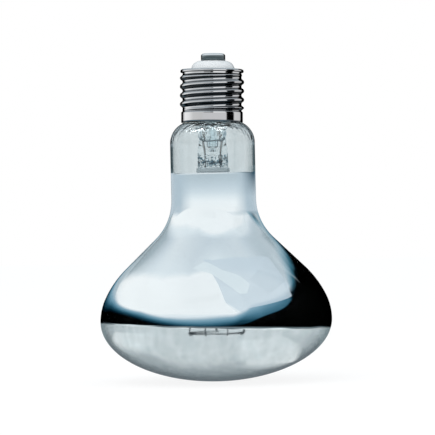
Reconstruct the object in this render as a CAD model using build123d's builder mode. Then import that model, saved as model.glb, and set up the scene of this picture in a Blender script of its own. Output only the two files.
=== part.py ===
"""A self-ballasted mercury reflector lamp: a basking lamp for reptiles that also gives UVB.

A blown glass bulb carries an aluminium mirror inside its bowl and closes on a glass stem. The stem's
press seals two wires, which carry a quartz arc tube and, in series with it, a ballast filament
strung on hooks. A screw cap with a rolled round thread is cemented to the neck.

Units are millimetres. +Z runs along the lamp's axis, from the face towards the cap, and the origin is
the pole of the face, the lowest point of the lamp as it stands. Heights are measured from there.
"""

import os
from math import acos, cos, degrees, radians, sin, sqrt, tan

from build123d import *

# Glass bulb
bulb_radius = 47.5
equator_height = 25.0
lower_bowl_radius = 22.5
lower_bowl_sweep = 25.8
upper_bowl_radius = 41.5
cone_angle = 46.0
throat_radius = 22.2
neck_radius = 17.4
shoulder_height = 97.7
shoulder_radius = 9.1
mouth_radius = 2.0
seal_tube_radius = 10.9
seal_tube_length = 3.6
glass_wall = 0.9

# Mirror film, drawn thicker than the real one so that it is a solid
film_thickness = 0.15
film_gap = 0.02
film_top_height = 85.4
film_edge_height = 23.4
film_edge_tilt = 2.2

# Screw cap shell, with the round thread of a 27 mm Edison cap
thread_crest_radius = 13.2
thread_root_radius = 12.1
thread_pitch = 3.629
thread_turns = 4
shell_thickness = 0.35
skirt_height = 4.85
skirt_land = 0.1
cap_height = 21.9
rim_radius = 13.0
rim_height = 1.2
rim_corner = 0.85
flange_opening_radius = 8.95
cap_gap = 0.15

# Insulator and end contact
insulator_clearance = 0.05
insulator_body_height = 5.9
insulator_recess_radius = 6.5
insulator_recess_depth = 2.8
dome_height = 3.5
contact_radius = 5.0
contact_height = 2.95
contact_thickness = 0.5
contact_fillet = 1.0
contact_hole_radius = 0.9
lead_bore_radius = 1.3

# Cement between the neck and the shell
cement_recess = 0.4
cement_clearance = 0.05

# Glass stem
stem_radius = 5.6
stem_wall = 1.1
stem_floor_depth = 13.0
stem_floor_fillet = 2.0
press_blend_height = 3.4
press_top_drop = 4.4
press_length = 8.4
press_width = 12.4
press_thickness = 4.8
press_corner = 1.8
press_foot_height = 1.9
press_foot_overhang = 0.6
press_foot_fillet = 0.5
exhaust_radius = 2.0
exhaust_bore_radius = 1.1
exhaust_seat_depth = 1.8
exhaust_reach = 5.6
blow_hole_radius = 0.85
blow_hole_margin = 0.3
seal_clearance = 0.02

# Wires and rods
lead_radius = 0.4
lead_offset = 3.2
seal_length = 4.4
rod_socket_depth = 2.2
lead_turn_reach = 1.1
lead_turn_rise = 5.0
rod_radius = 0.45
rod_circle_radius = 8.2
rod_bend_radius = 1.6
rod_straight_length = 3.0
rod_spread_drop = 4.4
rod_flare_rise = 6.1
rod_flare_drop = 3.0
frame_foot_drop = 9.6
frame_foot_reach = 1.0
cross_arm_drop = 2.2

# Quartz arc tube
arc_tube_radius = 5.2
arc_tube_wall = 1.0
arc_tube_shoulder = 3.2
arc_body_drop = 10.0
arc_body_length = 30.0
pinch_length = 8.0
pinch_overlap = 1.2
pinch_width = 8.4
pinch_thickness = 2.8
pinch_corner = 0.8
foil_width = 1.7
foil_thickness = 0.2
foil_length = 4.2
foil_inset = 1.2
electrode_radius = 0.35
electrode_reach = 4.4
electrode_winding_radius = 0.8
electrode_winding_length = 1.8
electrode_tip_length = 0.6
starter_offset = 2.2
starter_radius = 0.2
starter_reach = 2.4
arc_lead_radius = 0.3
quartz_clearance = 0.02

# Straps that hold the arc tube to its rod
strap_thickness = 0.3
strap_height = 2.4
strap_inset = 1.0
strap_clearance = 0.05
strap_tail = 0.7

# Starting resistor
resistor_radius = 1.0
resistor_length = 3.4
resistor_drop = 1.4
resistor_fillet = 0.25
resistor_lead_radius = 0.25

# Ballast filament and its carrier
filament_ring_radius = 11.3
filament_drop = 16.3
filament_radius = 0.4
filament_end_overlap = 5.0
hook_count = 6
hook_wire_radius = 0.2
hook_clearance = 0.05
hook_bend_radius = 0.35
hook_circle_radius = 9.2
hook_knee_rise = 4.9
hook_head_length = 1.0
hook_tip_length = 1.5
carrier_radius = 10.4
carrier_bore_radius = 5.8
carrier_thickness = 2.2
carrier_drop = 2.8
carrier_clearance = 0.05
carrier_fillet = 0.4

# Solder joints
contact_solder_length = 1.8
contact_solder_sink = 0.1
contact_solder_bite = 1.2
side_solder_radius = 1.3
side_solder_height = 0.8
side_solder_offset = 10.7
side_hole_radius = 0.7
solder_clearance = 0.02

# Worked out from the dimensions above
throat_rise = throat_radius * (1 - cos(radians(cone_angle)))
lower_bowl_inset = lower_bowl_radius * (1 - cos(radians(lower_bowl_sweep)))
upper_bowl_inset = upper_bowl_radius * (cos(radians(lower_bowl_sweep)) - cos(radians(cone_angle)))
cone_inset = bulb_radius - lower_bowl_inset - upper_bowl_inset - throat_rise - neck_radius
cone_length = cone_inset / sin(radians(cone_angle))
shoulder_inset = neck_radius - seal_tube_radius
shoulder_sweep = degrees(acos(1 - shoulder_inset / (shoulder_radius + mouth_radius)))
shoulder_rise = (shoulder_radius + mouth_radius) * sin(radians(shoulder_sweep))
neck_top_height = shoulder_height + shoulder_rise + seal_tube_length
seal_bore_radius = seal_tube_radius - glass_wall

thread_depth = thread_crest_radius - thread_root_radius
thread_arc_radius = ((thread_pitch / 2) ** 2 + thread_depth**2) / (4 * thread_depth)
skirt_radius = (thread_crest_radius + thread_root_radius) / 2
skirt_bore_radius = skirt_radius - shell_thickness
root_bore_radius = thread_root_radius - shell_thickness
skirt_cosine = 1 - (neck_radius - skirt_bore_radius) / shoulder_radius
cap_foot_height = shoulder_height + shoulder_radius * sqrt(1 - skirt_cosine**2) + cap_gap
skirt_top_height = cap_foot_height + skirt_height
cap_top_height = cap_foot_height + cap_height
skirt_lip_height = skirt_top_height - skirt_land - (skirt_radius - thread_root_radius)
flange_underside = cap_top_height - shell_thickness
contact_foot_height = cap_top_height + dome_height
lamp_height = contact_foot_height + contact_height

flare_lip_radius = seal_bore_radius - seal_clearance
flare_arc_radius = flare_lip_radius - stem_radius
flare_foot_height = neck_top_height - flare_arc_radius - stem_wall
stem_bore_radius = stem_radius - stem_wall

stem_floor_height = neck_top_height - stem_floor_depth
press_top_height = stem_floor_height - press_top_drop
press_bottom_height = press_top_height - press_length
seal_bottom_height = press_bottom_height + rod_socket_depth
seal_top_height = seal_bottom_height + seal_length
exhaust_foot_height = stem_floor_height - exhaust_seat_depth
exhaust_tip_height = neck_top_height + exhaust_reach
lead_turn_height = neck_top_height + lead_turn_reach

rod_spread_height = press_bottom_height - rod_straight_length
cross_arm_height = rod_spread_height - rod_spread_drop - cross_arm_drop
resistor_height = cross_arm_height - resistor_drop
arc_body_top = cross_arm_height - arc_body_drop
arc_body_bottom = arc_body_top - arc_body_length
frame_foot_height = arc_body_bottom - frame_foot_drop
carrier_height = arc_body_bottom - carrier_drop
filament_height = arc_body_bottom - filament_drop
rod_flare_height = filament_height + rod_flare_rise
hook_knee_height = filament_height + hook_knee_rise
arc_middle_height = (arc_body_bottom + arc_body_top) / 2
pinch_end_reach = arc_body_length / 2 - pinch_overlap + pinch_length
chamber_reach = arc_body_length / 2 - 2 * arc_tube_wall
foil_end_reach = pinch_end_reach - foil_inset
foil_places = [(-1, 0), (1, 0), (1, -starter_offset)]
cross_arm_underside = cross_arm_height - rod_radius
starter_top_height = resistor_height - resistor_lead_radius
filament_top_height = filament_height + filament_radius
carrier_top_height = carrier_height + carrier_thickness
rod_angles = [0, 90, 180]
hook_angles = [90 + 270 * (step + 0.5) / hook_count for step in range(hook_count)]


def trace_bulb(inset):
    """Draw the bulb's outline, moved inwards by inset, from the face's pole to the seal tube."""
    face = EllipticalCenterArc(
        (0, equator_height), bulb_radius - inset, equator_height - inset, 270, arc_size=90
    )
    lower_bowl = JernArc(face @ 1, (0, 1), lower_bowl_radius - inset, lower_bowl_sweep)
    upper_bowl_sweep = cone_angle - lower_bowl_sweep
    upper_bowl = JernArc(
        lower_bowl @ 1, lower_bowl % 1, upper_bowl_radius - inset, upper_bowl_sweep
    )
    cone = Line(upper_bowl @ 1, upper_bowl @ 1 + (upper_bowl % 1) * cone_length)
    throat = JernArc(cone @ 1, cone % 1, throat_radius + inset, -cone_angle)
    neck = Line(throat @ 1, ((throat @ 1).X, shoulder_height))
    shoulder = JernArc(neck @ 1, (0, 1), shoulder_radius - inset, shoulder_sweep)
    mouth = JernArc(shoulder @ 1, shoulder % 1, mouth_radius + inset, -shoulder_sweep)
    return face @ 0, mouth @ 1


def draw_bulb_layer(outer_inset, inner_inset):
    """Draw the section of one layer of the bulb's wall, between two insets from its outer face."""
    outer_pole, outer_end = trace_bulb(outer_inset)
    inner_pole, inner_end = trace_bulb(inner_inset)
    Line(outer_pole, inner_pole)
    Polyline(
        outer_end, (outer_end.X, neck_top_height), (inner_end.X, neck_top_height), inner_end
    )


def sweep_wire(points, radius, bend=0.0):
    """Sweep a round wire along straight runs, joined by bends of one radius."""
    with BuildLine() as route:
        if bend:
            FilletPolyline(*points, radius=bend)
        else:
            Polyline(*points)
    with BuildSketch(Plane(origin=route.line @ 0, z_dir=route.line % 0)) as section:
        Circle(radius)
    sweep(sections=section.sketch, path=route.line)


def add_rod(x, y, bottom, top, radius, mode=Mode.ADD):
    """Add or cut a round rod that stands at x, y between two heights."""
    with BuildSketch(Plane((x, y, bottom))) as section:
        Circle(radius)
    extrude(section.sketch, amount=top - bottom, mode=mode)


def add_electrode(end):
    """Add one main electrode, at the lower end of the arc tube for -1 and at the upper for 1."""
    root = arc_middle_height + end * (foil_end_reach - foil_length)
    tip = arc_middle_height + end * (chamber_reach - electrode_reach)
    winding = tip + end * electrode_tip_length
    add_rod(0, 0, tip, root, electrode_radius)
    add_rod(0, 0, winding, winding + end * electrode_winding_length, electrode_winding_radius)


def add_strap(bottom):
    """Add one strap, wrapped round a pinch of the arc tube, with its tail along the frame rod."""
    inner_width = pinch_width + 2 * strap_clearance
    inner_thickness = pinch_thickness + 2 * strap_clearance
    inner_corner = pinch_corner + strap_clearance
    tail_end = rod_circle_radius + rod_radius + strap_tail
    tail_start = inner_width / 2 + strap_thickness / 2
    with BuildSketch(Plane.XY.offset(bottom)) as outline:
        RectangleRounded(
            inner_width + 2 * strap_thickness,
            inner_thickness + 2 * strap_thickness,
            inner_corner + strap_thickness,
        )
        RectangleRounded(inner_width, inner_thickness, inner_corner, mode=Mode.SUBTRACT)
        with Locations((-tail_start, rod_radius + strap_clearance)):
            Rectangle(tail_end - tail_start, strap_thickness, align=(Align.MAX, Align.MIN))
    extrude(outline.sketch, amount=strap_height)


def trace_cap(inset):
    """Draw the cap's outline, moved inwards by inset, from the skirt's lip to the flange's hole."""
    crest_centre = thread_crest_radius - thread_arc_radius
    root_centre = thread_root_radius + thread_arc_radius
    crest_arc = thread_arc_radius - inset
    root_arc = thread_arc_radius + inset
    half_pitch = thread_pitch / 2
    towards_root = Vector(root_centre - crest_centre, half_pitch).normalized()
    joint_radius = crest_centre + crest_arc * towards_root.X
    joint_rise = crest_arc * towards_root.Y
    skirt = skirt_radius - inset
    root = thread_root_radius - inset
    rim = rim_radius - inset
    top = cap_top_height - inset
    corner_shift = inset * tan(radians(22.5))
    foot = Line((skirt, cap_foot_height), (skirt, skirt_lip_height - corner_shift))
    lip = Line(foot @ 1, (root, skirt_top_height - skirt_land - corner_shift))
    Line(lip @ 1, (root, skirt_top_height))
    for turn in range(thread_turns):
        root_height = skirt_top_height + turn * thread_pitch
        crest_height = root_height + half_pitch
        below = (joint_radius, crest_height - joint_rise)
        above = (joint_radius, crest_height + joint_rise)
        RadiusArc((root, root_height), below, -root_arc)
        ThreePointArc(below, (crest_centre + crest_arc, crest_height), above)
        RadiusArc(above, (root, root_height + thread_pitch), -root_arc)
    thread_top = skirt_top_height + thread_turns * thread_pitch
    Polyline(
        (root, thread_top),
        (root, cap_top_height - rim_height - corner_shift),
        (rim, cap_top_height - rim_corner),
    )
    rim_end = (rim + inset - rim_corner, top)
    RadiusArc((rim, cap_top_height - rim_corner), rim_end, -(rim_corner - inset))
    flange = Line(rim_end, (flange_opening_radius, top))
    return foot @ 0, flange @ 1


# Glass bulb
with BuildPart() as envelope:
    with BuildSketch(Plane.XZ) as wall:
        with BuildLine():
            draw_bulb_layer(0, glass_wall)
        make_face()
    revolve(axis=Axis.Z)

# Mirror film, cut off square at the neck and by the tilted edge of the window below
with BuildPart() as reflector_coating:
    with BuildSketch(Plane.XZ) as film:
        with BuildLine():
            draw_bulb_layer(glass_wall + film_gap, glass_wall + film_gap + film_thickness)
        make_face()
    revolve(axis=Axis.Z)
    split(bisect_by=Plane.XY.offset(film_top_height), keep=Keep.BOTTOM)
    split(
        bisect_by=Plane(
            origin=(0, 0, film_edge_height),
            z_dir=(sin(radians(film_edge_tilt)), 0, cos(radians(film_edge_tilt))),
        ),
        keep=Keep.TOP,
    )

# Stem: a flared tube, sealed to the neck and pressed flat round the wires
with BuildPart() as stem:
    with BuildSketch(Plane.XZ) as tube:
        with BuildLine():
            outer = Polyline(
                (0, stem_floor_height),
                (0, press_top_height + press_blend_height),
                (stem_radius, press_top_height + press_blend_height),
                (stem_radius, flare_foot_height),
            )
            outer_flare = JernArc(outer @ 1, (0, 1), flare_arc_radius, -90)
            lip = Line(outer_flare @ 1, (flare_lip_radius, neck_top_height))
            inner_flare = RadiusArc(
                lip @ 1, (stem_bore_radius, flare_foot_height), -(flare_arc_radius + stem_wall)
            )
            bore = Line(
                inner_flare @ 1, (stem_bore_radius, stem_floor_height + stem_floor_fillet)
            )
            floor_corner = JernArc(bore @ 1, (0, -1), stem_floor_fillet, -90)
            Line(floor_corner @ 1, (0, stem_floor_height))
        make_face()
    revolve(axis=Axis.Z)
    with BuildSketch(Plane.XY.offset(press_top_height)):
        RectangleRounded(press_width, press_thickness, press_corner)
    with BuildSketch(Plane.XY.offset(press_top_height + press_blend_height)):
        Circle(stem_radius)
    loft()
    with BuildSketch(Plane.XY.offset(press_bottom_height)):
        RectangleRounded(press_width, press_thickness, press_corner)
    extrude(amount=press_top_height - press_bottom_height)
    with BuildSketch(Plane.XY.offset(press_bottom_height)):
        RectangleRounded(
            press_width + 2 * press_foot_overhang,
            press_thickness + 2 * press_foot_overhang,
            press_corner + press_foot_overhang,
        )
    foot = extrude(amount=press_foot_height)
    fillet(
        edges().group_by(Axis.Z)[0] + foot.edges().group_by(Axis.Z)[-1], press_foot_fillet
    )
    seat_radius = exhaust_radius + seal_clearance
    add_rod(0, 0, exhaust_foot_height, stem_floor_height, seat_radius, Mode.SUBTRACT)
    blow_hole_height = exhaust_foot_height - blow_hole_margin - blow_hole_radius
    pocket_bottom = blow_hole_height - blow_hole_radius - blow_hole_margin
    add_rod(0, 0, pocket_bottom, exhaust_foot_height, exhaust_bore_radius, Mode.SUBTRACT)
    with BuildSketch(Plane.XZ) as blow_hole:
        with Locations((0, blow_hole_height)):
            Circle(blow_hole_radius)
    extrude(blow_hole.sketch, amount=-stem_radius - press_thickness, mode=Mode.SUBTRACT)
    for x in (-lead_offset, lead_offset):
        rod_bore = rod_radius + seal_clearance
        add_rod(x, 0, press_bottom_height, seal_bottom_height, rod_bore, Mode.SUBTRACT)
        wire_bore = lead_radius + seal_clearance
        add_rod(
            x, 0, seal_bottom_height, stem_floor_height + stem_floor_fillet, wire_bore, Mode.SUBTRACT
        )

# Exhaust tube, tipped off inside the cap
with BuildPart() as exhaust_tube:
    with BuildSketch(Plane.XZ):
        with BuildLine():
            tip_foot = exhaust_tip_height - exhaust_radius
            Polyline(
                (exhaust_bore_radius, tip_foot),
                (exhaust_bore_radius, exhaust_foot_height),
                (exhaust_radius, exhaust_foot_height),
                (exhaust_radius, tip_foot),
            )
            CenterArc((0, tip_foot), exhaust_radius, 0, 90)
            Line((0, exhaust_tip_height), (0, tip_foot + exhaust_bore_radius))
            CenterArc((0, tip_foot), exhaust_bore_radius, 90, -90)
        make_face()
    revolve(axis=Axis.Z)

# Screw cap shell: one sheet, rolled with a round thread and turned over at the top
with BuildPart() as cap_shell:
    with BuildSketch(Plane.XZ):
        with BuildLine():
            outer_foot, outer_mouth = trace_cap(0)
            inner_foot, inner_mouth = trace_cap(shell_thickness)
            Line(outer_foot, inner_foot)
            Line(outer_mouth, inner_mouth)
        make_face()
    revolve(axis=Axis.Z)
    add_rod(
        0, side_solder_offset, flange_underside, cap_top_height, side_hole_radius, Mode.SUBTRACT
    )

# Insulator, seated under the flange and domed up to the end contact
with BuildPart() as cap_insulator:
    body_radius = root_bore_radius - insulator_clearance
    neck_top = flange_opening_radius - insulator_clearance
    body_bottom = flange_underside - insulator_clearance - insulator_body_height
    boss_radius = contact_radius - contact_thickness - insulator_clearance
    boss_top = lamp_height - contact_thickness - insulator_clearance
    with BuildSketch(Plane.XZ):
        with BuildLine():
            Polyline(
                (lead_bore_radius, boss_top),
                (lead_bore_radius, body_bottom + insulator_recess_depth),
                (insulator_recess_radius, body_bottom + insulator_recess_depth),
                (insulator_recess_radius, body_bottom),
                (body_radius, body_bottom),
                (body_radius, flange_underside - insulator_clearance),
                (neck_top, flange_underside - insulator_clearance),
                (neck_top, cap_top_height),
            )
            EllipticalCenterArc(
                (boss_radius, cap_top_height),
                neck_top - boss_radius,
                dome_height - insulator_clearance,
                0,
                arc_size=90,
            )
            Polyline(
                (boss_radius, contact_foot_height - insulator_clearance),
                (boss_radius, boss_top),
                (lead_bore_radius, boss_top),
            )
        make_face()
    revolve(axis=Axis.Z)
    add_rod(
        0, side_solder_offset, body_bottom, flange_underside, side_hole_radius, Mode.SUBTRACT
    )

# End contact: a pressed brass cup, turned down over the insulator's boss
with BuildPart() as end_contact:
    with BuildSketch(Plane.XY.offset(contact_foot_height)):
        Circle(contact_radius)
    extrude(amount=contact_height)
    fillet(edges().group_by(Axis.Z)[-1], contact_fillet)
    with BuildSketch(Plane.XY.offset(contact_foot_height)):
        Circle(contact_radius - contact_thickness)
    extrude(amount=contact_height - contact_thickness, mode=Mode.SUBTRACT)
    add_rod(0, 0, contact_foot_height, lamp_height, contact_hole_radius, Mode.SUBTRACT)

# Solder in the end contact's hole, round the end of its wire
with BuildPart() as contact_solder:
    solder_top = lamp_height - contact_solder_sink
    solder_radius = contact_hole_radius - solder_clearance
    wire_bore = lead_radius + solder_clearance
    add_rod(0, 0, solder_top - contact_solder_length, solder_top, solder_radius)
    fillet(edges().group_by(Axis.Z)[0], solder_radius - wire_bore - solder_clearance)
    bite_top = solder_top - contact_solder_length + contact_solder_bite
    add_rod(0, 0, solder_top - contact_solder_length, bite_top, wire_bore, Mode.SUBTRACT)

# Solder bead on the rim, round the end of the shell's wire
with BuildPart() as side_solder:
    bead_edge = (side_solder_radius, cap_top_height)
    bead_top = (0, cap_top_height + side_solder_height)
    ball_radius = (side_solder_radius**2 + side_solder_height**2) / (2 * side_solder_height)
    with BuildSketch(Plane.XZ.offset(-side_solder_offset)):
        with BuildLine():
            Polyline(bead_top, (0, cap_top_height), bead_edge)
            RadiusArc(bead_edge, bead_top, -ball_radius)
        make_face()
    revolve(axis=Axis((0, side_solder_offset, 0), (0, 0, 1)))

# Cement, moulded to the glass between the neck and the skirt
with BuildPart() as shell_cement:
    cement_bottom = cap_foot_height + cement_clearance
    cement_top = skirt_lip_height - cement_recess
    cement_radius = skirt_bore_radius - cement_clearance
    add_rod(0, 0, cement_bottom, cement_top, cement_radius)
    with BuildSketch(Plane.XZ) as glass:
        with BuildLine():
            pole, mouth_end = trace_bulb(-cement_clearance)
            Polyline(mouth_end, (mouth_end.X, cap_top_height), (0, cap_top_height), pole)
        make_face()
    revolve(glass.sketch, axis=Axis.Z, mode=Mode.SUBTRACT)
    fillet(edges().group_by(Axis.Z)[-1].sort_by(SortBy.RADIUS)[-1], cement_clearance * 4)

# Wire sealed in the press and led up to the end contact
with BuildPart() as contact_lead:
    sweep_wire(
        [
            (-lead_offset, 0, seal_top_height),
            (-lead_offset, 0, exhaust_tip_height),
            (0, 0, exhaust_tip_height + lead_turn_rise),
            (0, 0, bite_top),
        ],
        lead_radius,
        rod_bend_radius,
    )

# Wire sealed in the press and led through the rim to the shell
with BuildPart() as shell_lead:
    sweep_wire(
        [
            (lead_offset, 0, seal_top_height),
            (lead_offset, 0, lead_turn_height),
            (0, side_solder_offset, lead_turn_height + lead_turn_rise),
            (0, side_solder_offset, cap_top_height),
        ],
        lead_radius,
        rod_bend_radius,
    )

# Seals: short wires that match the glass, fused into the press
with BuildPart() as press_seals:
    for x in (-lead_offset, lead_offset):
        add_rod(x, 0, seal_bottom_height, seal_top_height, lead_radius)

# Rod that carries the arc tube and ends under its lower lead
with BuildPart() as frame_rod:
    sweep_wire(
        [
            (-lead_offset, 0, seal_bottom_height),
            (-lead_offset, 0, rod_spread_height),
            (-rod_circle_radius, 0, rod_spread_height - rod_spread_drop),
            (-rod_circle_radius, 0, frame_foot_height),
            (frame_foot_reach, 0, frame_foot_height),
        ],
        rod_radius,
        rod_bend_radius,
    )

# Rod that feeds the filament's first end
with BuildPart() as feed_rod:
    sweep_wire(
        [
            (lead_offset, 0, seal_bottom_height),
            (lead_offset, 0, rod_spread_height),
            (rod_circle_radius, 0, rod_spread_height - rod_spread_drop),
            (rod_circle_radius, 0, rod_flare_height),
            (filament_ring_radius, 0, rod_flare_height - rod_flare_drop),
            (filament_ring_radius, 0, filament_top_height),
        ],
        rod_radius,
        rod_bend_radius,
    )

# Rod from the arc tube's upper lead down to the filament's other end
with BuildPart() as return_rod:
    sweep_wire(
        [
            (0, -frame_foot_reach, cross_arm_height),
            (0, rod_circle_radius, cross_arm_height),
            (0, rod_circle_radius, rod_flare_height),
            (0, filament_ring_radius, rod_flare_height - rod_flare_drop),
            (0, filament_ring_radius, filament_top_height),
        ],
        rod_radius,
        rod_bend_radius,
    )

# Quartz arc tube, pinched flat at both ends round its foils
with BuildPart() as arc_tube:
    with BuildSketch(Plane.XY.offset(arc_body_bottom)):
        Circle(arc_tube_radius)
    extrude(amount=arc_body_length)
    fillet(edges().filter_by(GeomType.CIRCLE), arc_tube_shoulder)
    for end in (-1, 1):
        inner_end = arc_middle_height + end * (pinch_end_reach - pinch_length)
        with BuildSketch(Plane.XY.offset(inner_end)) as pinch:
            RectangleRounded(pinch_width, pinch_thickness, pinch_corner)
        extrude(pinch.sketch, amount=end * pinch_length)
    with BuildSketch(Plane.XZ) as chamber:
        with BuildLine():
            bore = arc_tube_radius - arc_tube_wall
            FilletPolyline(
                (0, arc_middle_height - chamber_reach),
                (bore, arc_middle_height - chamber_reach),
                (bore, arc_middle_height + chamber_reach),
                (0, arc_middle_height + chamber_reach),
                radius=arc_tube_shoulder - arc_tube_wall,
            )
            Line(
                (0, arc_middle_height + chamber_reach), (0, arc_middle_height - chamber_reach)
            )
        make_face()
    revolve(chamber.sketch, axis=Axis.Z, mode=Mode.SUBTRACT)
    cut = quartz_clearance
    for end, x in foil_places:
        foil_end = arc_middle_height + end * foil_end_reach
        with BuildSketch(Plane((x, 0, foil_end + end * cut))) as slot:
            Rectangle(foil_width + 2 * cut, foil_thickness + 2 * cut)
        extrude(slot.sketch, amount=-end * (foil_length + 2 * cut), mode=Mode.SUBTRACT)
        shaft = electrode_radius if x == 0 else starter_radius
        with BuildSketch(Plane((x, 0, foil_end - end * foil_length))) as shaft_bore:
            Circle(shaft + cut)
        extrude(shaft_bore.sketch, amount=-end * pinch_length / 2, mode=Mode.SUBTRACT)
        with BuildSketch(Plane((x, 0, foil_end))) as lead_bore:
            Circle(arc_lead_radius + cut)
        extrude(lead_bore.sketch, amount=end * foil_inset, mode=Mode.SUBTRACT)

# Electrodes: tungsten shafts with a winding behind each tip
with BuildPart() as upper_electrode:
    add_electrode(1)

with BuildPart() as lower_electrode:
    add_electrode(-1)

# Starting electrode beside the upper one
with BuildPart() as starting_electrode:
    add_rod(
        -starter_offset,
        0,
        arc_middle_height + chamber_reach - starter_reach,
        arc_middle_height + foil_end_reach - foil_length,
        starter_radius,
    )

# Molybdenum foils that seal the currents through the quartz
with BuildPart() as sealing_foils:
    for end, x in foil_places:
        with BuildSketch(Plane((x, 0, arc_middle_height + end * foil_end_reach))):
            Rectangle(foil_width, foil_thickness)
        extrude(amount=-end * foil_length)

# Wires from the foils to the rods and to the starting resistor
with BuildPart() as arc_tube_leads:
    upper_end = arc_middle_height + foil_end_reach
    lower_end = arc_middle_height - foil_end_reach
    add_rod(0, 0, upper_end, cross_arm_underside, arc_lead_radius)
    add_rod(-starter_offset, 0, upper_end, starter_top_height, arc_lead_radius)
    add_rod(0, 0, frame_foot_height + rod_radius, lower_end, arc_lead_radius)

# Straps wrapped round the pinches and welded to the frame rod
with BuildPart() as upper_strap:
    add_strap(arc_middle_height + pinch_end_reach - strap_inset - strap_height)

with BuildPart() as lower_strap:
    add_strap(arc_middle_height - pinch_end_reach + strap_inset)

# Starting resistor between the starting electrode and the frame rod
with BuildPart() as starting_resistor:
    resistor_middle = -(rod_circle_radius - rod_radius + starter_offset) / 2
    resistor_start = resistor_middle - resistor_length / 2
    with BuildSketch(Plane.YZ.offset(resistor_start)):
        with Locations((0, resistor_height)):
            Circle(resistor_radius)
    extrude(amount=resistor_length)
    fillet(edges(), resistor_fillet)

with BuildPart() as resistor_leads:
    starter_side = -starter_offset + arc_lead_radius
    for start, end in (
        (-rod_circle_radius + rod_radius, resistor_start),
        (resistor_start + resistor_length, starter_side),
    ):
        with BuildSketch(Plane.YZ.offset(start)) as wire_end:
            with Locations((0, resistor_height)):
                Circle(resistor_lead_radius)
        extrude(wire_end.sketch, amount=end - start)

# Steatite ring, threaded on the rods, that carries the hooks
with BuildPart() as filament_carrier:
    with BuildSketch(Plane.XY.offset(carrier_height)):
        Circle(carrier_radius)
        Circle(carrier_bore_radius, mode=Mode.SUBTRACT)
        for angle in rod_angles:
            with PolarLocations(rod_circle_radius, 1, start_angle=angle):
                Circle(rod_radius + carrier_clearance, mode=Mode.SUBTRACT)
        for angle in hook_angles:
            with PolarLocations(hook_circle_radius, 1, start_angle=angle):
                Circle(hook_wire_radius + carrier_clearance, mode=Mode.SUBTRACT)
    extrude(amount=carrier_thickness)
    fillet(edges().filter_by(GeomType.CIRCLE).sort_by(SortBy.RADIUS)[-2:], carrier_fillet)

# Hooks of molybdenum wire that hold the filament
with BuildPart() as filament_hooks:
    reach = filament_radius + hook_clearance + hook_wire_radius
    head_height = carrier_top_height + hook_clearance + hook_wire_radius
    for angle in hook_angles:
        with BuildLine(Plane.XZ.rotated((0, 0, angle))) as hook:
            FilletPolyline(
                (hook_circle_radius - hook_head_length, head_height),
                (hook_circle_radius, head_height),
                (hook_circle_radius, hook_knee_height),
                (filament_ring_radius + reach, filament_top_height + hook_tip_length),
                (filament_ring_radius + reach, filament_height - reach),
                (filament_ring_radius + reach - hook_tip_length, filament_height - reach),
                radius=hook_bend_radius,
            )
        with BuildSketch(Plane(origin=hook.line @ 0, z_dir=hook.line % 0)) as section:
            Circle(hook_wire_radius)
        sweep(sections=section.sketch, path=hook.line)

# Ballast filament: the coiled tungsten wire as one round tube of its outer size
with BuildPart() as ballast_filament:
    with BuildLine(Plane.XY.offset(filament_height)) as ring:
        CenterArc(
            (0, 0),
            filament_ring_radius,
            90 - filament_end_overlap,
            270 + 2 * filament_end_overlap,
        )
    with BuildSketch(Plane(origin=ring.line @ 0, z_dir=ring.line % 0)):
        Circle(filament_radius)
    sweep(path=ring.line)

nodes = {
    "envelope": envelope,
    "reflector_coating": reflector_coating,
    "stem": stem,
    "exhaust_tube": exhaust_tube,
    "cap_shell": cap_shell,
    "cap_insulator": cap_insulator,
    "end_contact": end_contact,
    "contact_solder": contact_solder,
    "side_solder": side_solder,
    "shell_cement": shell_cement,
    "contact_lead": contact_lead,
    "shell_lead": shell_lead,
    "press_seals": press_seals,
    "frame_rod": frame_rod,
    "feed_rod": feed_rod,
    "return_rod": return_rod,
    "arc_tube": arc_tube,
    "upper_electrode": upper_electrode,
    "lower_electrode": lower_electrode,
    "starting_electrode": starting_electrode,
    "sealing_foils": sealing_foils,
    "arc_tube_leads": arc_tube_leads,
    "upper_strap": upper_strap,
    "lower_strap": lower_strap,
    "starting_resistor": starting_resistor,
    "resistor_leads": resistor_leads,
    "filament_carrier": filament_carrier,
    "filament_hooks": filament_hooks,
    "ballast_filament": ballast_filament,
}

os.makedirs("parts", exist_ok=True)
for name, node in nodes.items():
    node.part.label = name
    export_step(node.part, f"parts/{name}.step")
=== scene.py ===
from math import acos, cos, pi, radians, sin, sqrt, tan
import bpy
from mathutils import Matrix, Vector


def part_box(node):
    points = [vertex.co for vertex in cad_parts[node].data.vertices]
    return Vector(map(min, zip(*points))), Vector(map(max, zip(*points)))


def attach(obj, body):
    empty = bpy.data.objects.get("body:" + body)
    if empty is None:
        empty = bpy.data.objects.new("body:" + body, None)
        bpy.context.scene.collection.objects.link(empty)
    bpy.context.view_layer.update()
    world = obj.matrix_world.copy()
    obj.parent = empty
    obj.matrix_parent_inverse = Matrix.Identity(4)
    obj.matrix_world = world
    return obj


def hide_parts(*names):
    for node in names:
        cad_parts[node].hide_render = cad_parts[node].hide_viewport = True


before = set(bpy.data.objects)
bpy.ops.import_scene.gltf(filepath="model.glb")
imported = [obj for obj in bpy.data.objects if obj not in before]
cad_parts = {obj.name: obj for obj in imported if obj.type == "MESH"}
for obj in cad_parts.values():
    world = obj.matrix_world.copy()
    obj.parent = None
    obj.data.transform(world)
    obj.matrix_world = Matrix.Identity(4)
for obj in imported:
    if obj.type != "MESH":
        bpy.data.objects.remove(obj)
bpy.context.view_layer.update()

from types import SimpleNamespace

import bpy
from mathutils import Matrix, Vector

MM = 0.001

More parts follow.
